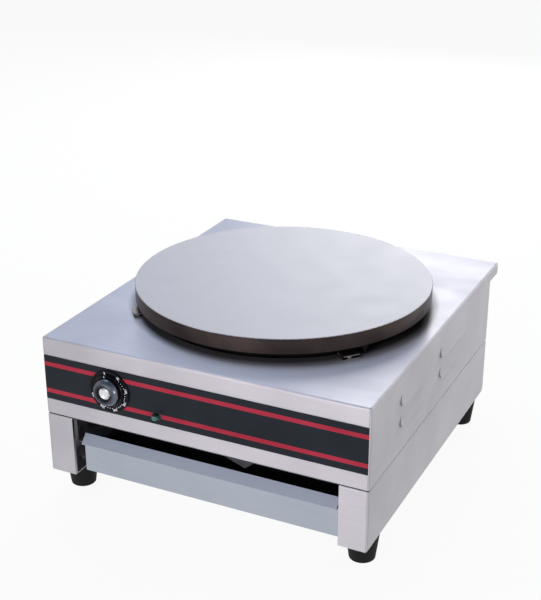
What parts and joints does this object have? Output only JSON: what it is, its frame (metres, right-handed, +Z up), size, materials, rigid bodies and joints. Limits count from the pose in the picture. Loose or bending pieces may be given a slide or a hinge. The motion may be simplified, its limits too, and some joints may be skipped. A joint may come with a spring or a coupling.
{
  "type": "electric crepe maker",
  "caption": "Low stainless steel box with a large round cast-iron griddle on top, a dial and lamp on its front strip, and a drip tray that slides out between its side walls.",
  "frame": {"origin": "on the surface it stands on, in the middle of its outline seen from above", "axes": "+X to the right as a user faces it, +Y to the back, +Z up"},
  "size_m": [0.4552, 0.5178, 0.26],
  "materials": {
    "brushed_stainless": "brushed stainless steel sheet with a fine lengthwise grain",
    "dull_steel": "dull dark steel sheet, not polished",
    "galvanised_steel": "plain zinc-coated steel sheet inside the base",
    "zinc_fasteners": "zinc-plated screws, bolts, nuts and clips",
    "griddle_iron": "machined cast iron, bright on top and dark on its turned rim",
    "dark_heater_steel": "black heat-proof enamel on pressed steel",
    "element_sheath": "oxidised sheath of a tubular heating element",
    "mineral_wool": "pressed mineral wool",
    "white_ceramic": "white steatite ceramic",
    "brass_strip": "brass strip and tube",
    "wire_silicone": "silicone-insulated flexible wire",
    "overlay_film": "dark satin film with two red stripes",
    "dial_black": "glossy black dial with white numbers",
    "knob_black": "glossy black phenolic",
    "knob_insert": "polished metal disc",
    "lens_green": "clear green lamp lens",
    "lamp_black": "black heat-proof nylon",
    "thermostat_case": "brown phenolic with a steel bracket",
    "gland_nylon": "black nylon",
    "foot_rubber": "black moulded rubber"
  },
  "bodies": {
    "root": {"base_back_panel": "dull_steel", "base_screws": "zinc_fasteners", "base_side_left": "brushed_stainless", "base_side_right": "brushed_stainless", "bonding_nuts": "zinc_fasteners", "bonding_stud": "zinc_fasteners", "bottom_plate": "dull_steel", "bracket_screws": "zinc_fasteners", "bulb_clip": "zinc_fasteners", "cable_gland": "gland_nylon", "capillary_tube": "brass_strip", "clamp_nuts": "zinc_fasteners", "control_overlay": "overlay_film", "dial_plate": "dial_black", "element_clamp": "zinc_fasteners", "element_inner": "element_sheath", "element_outer": "element_sheath", "foot_front_left": "foot_rubber", "foot_front_right": "foot_rubber", "foot_nuts": "zinc_fasteners", "foot_rear_left": "foot_rubber", "foot_rear_right": "foot_rubber", "foot_screws": "zinc_fasteners", "gland_locknut": "gland_nylon", "gland_nut": "gland_nylon", "griddle_plate": "griddle_iron", "heater_pan": "dark_heater_steel", "housing": "brushed_stainless", "insulation_disc": "mineral_wool", "lamp_body": "lamp_black", "lamp_lead_left": "wire_silicone", "lamp_lead_right": "wire_silicone", "lamp_lens": "lens_green", "lamp_nut": "lamp_black", "level_bolts": "zinc_fasteners", "pan_nuts": "zinc_fasteners", "plate_bracket_front_left": "zinc_fasteners", "plate_bracket_front_right": "zinc_fasteners", "plate_bracket_rear_left": "zinc_fasteners", "plate_bracket_rear_right": "zinc_fasteners", "plate_studs": "zinc_fasteners", "rear_panel": "brushed_stainless", "rear_panel_screws": "zinc_fasteners", "runner_left": "galvanised_steel", "runner_right": "galvanised_steel", "sensor_bulb": "brass_strip", "terminal_block": "white_ceramic", "terminal_bushings": "white_ceramic", "terminal_links": "brass_strip", "thermostat_body": "thermostat_case", "thermostat_screws": "zinc_fasteners", "wire_earth": "wire_silicone", "wire_live": "wire_silicone", "wire_load": "wire_silicone", "wire_neutral": "wire_silicone"},
    "knob": {"knob": "knob_black", "knob_cap": "knob_insert", "thermostat_shaft": "zinc_fasteners"},
    "tray": {"tray_pan": "brushed_stainless", "tray_front": "brushed_stainless"}
  },
  "joints": [
    {"name": "knob_turn", "type": "hinge", "parent": "root", "child": "knob", "pos_m": [-0.125, -0.2421, 0.175], "axis": [0, 1, 0], "range_deg": [0, 260]},
    {"name": "tray_slide", "type": "slide", "parent": "root", "child": "tray", "axis": [0, -1, 0], "range_m": [0, 0.38]}
  ]
}
